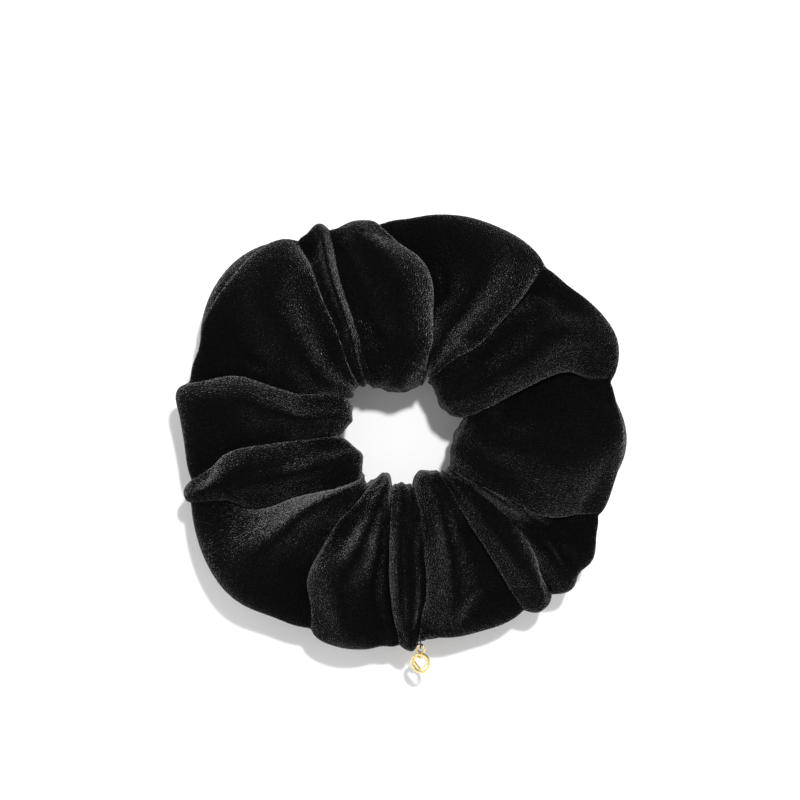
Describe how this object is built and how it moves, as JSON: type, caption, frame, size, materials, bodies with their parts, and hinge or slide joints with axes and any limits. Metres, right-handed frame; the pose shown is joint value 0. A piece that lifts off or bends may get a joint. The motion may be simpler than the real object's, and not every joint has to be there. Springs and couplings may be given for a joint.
{
  "type": "scrunchie",
  "caption": "Gathered velvet hair scrunchie: a stretch-velvet tube over a flat elastic loop, with a small pierced metal charm hanging from its outer seam.",
  "frame": {"origin": "centre of the hair hole at mid height", "axes": "+Z along the ring's axis, up as it lies; -Y towards the charm"},
  "size_m": [0.14, 0.1458, 0.027],
  "materials": {
    "velvet": "short-pile stretch velvet",
    "elastic": "braided elastic",
    "sewing_thread": "spun polyester thread",
    "charm_thread": "heavy black thread",
    "charm_metal": "polished gold plate"
  },
  "bodies": {
    "root": {"velvet_cover_rear": "velvet", "elastic_band": "elastic", "elastic_join_stitches": "sewing_thread", "long_seam_needle_thread": "sewing_thread", "long_seam_bobbin_thread": "sewing_thread", "end_seam_needle_thread": "sewing_thread", "end_seam_bobbin_thread": "sewing_thread", "closing_stitches": "sewing_thread"},
    "front": {"velvet_cover_front": "velvet", "charm_tack": "charm_thread"},
    "charm_loop": {"charm_thread_loop": "charm_thread"},
    "charm": {"charm": "charm_metal"}
  },
  "joints": [
    {"name": "stretch", "type": "slide", "parent": "root", "child": "front", "axis": [0, -1, 0], "range_m": [0, 0.06], "stiffness_N_per_m": 100, "deforming": ["elastic_band", "long_seam_needle_thread", "long_seam_bobbin_thread"]},
    {"name": "loop_swing", "type": "hinge", "parent": "front", "child": "charm_loop", "pos_m": [0.00645, -0.0652, 0], "axis": [-1, 0, 0], "range_deg": [-22, 35]},
    {"name": "charm_sway", "type": "hinge", "parent": "charm_loop", "child": "charm", "pos_m": [0.00645, -0.06761, -0.00043], "axis": [0, 0.1736, -0.9848], "range_deg": [-25, 25]}
  ]
}
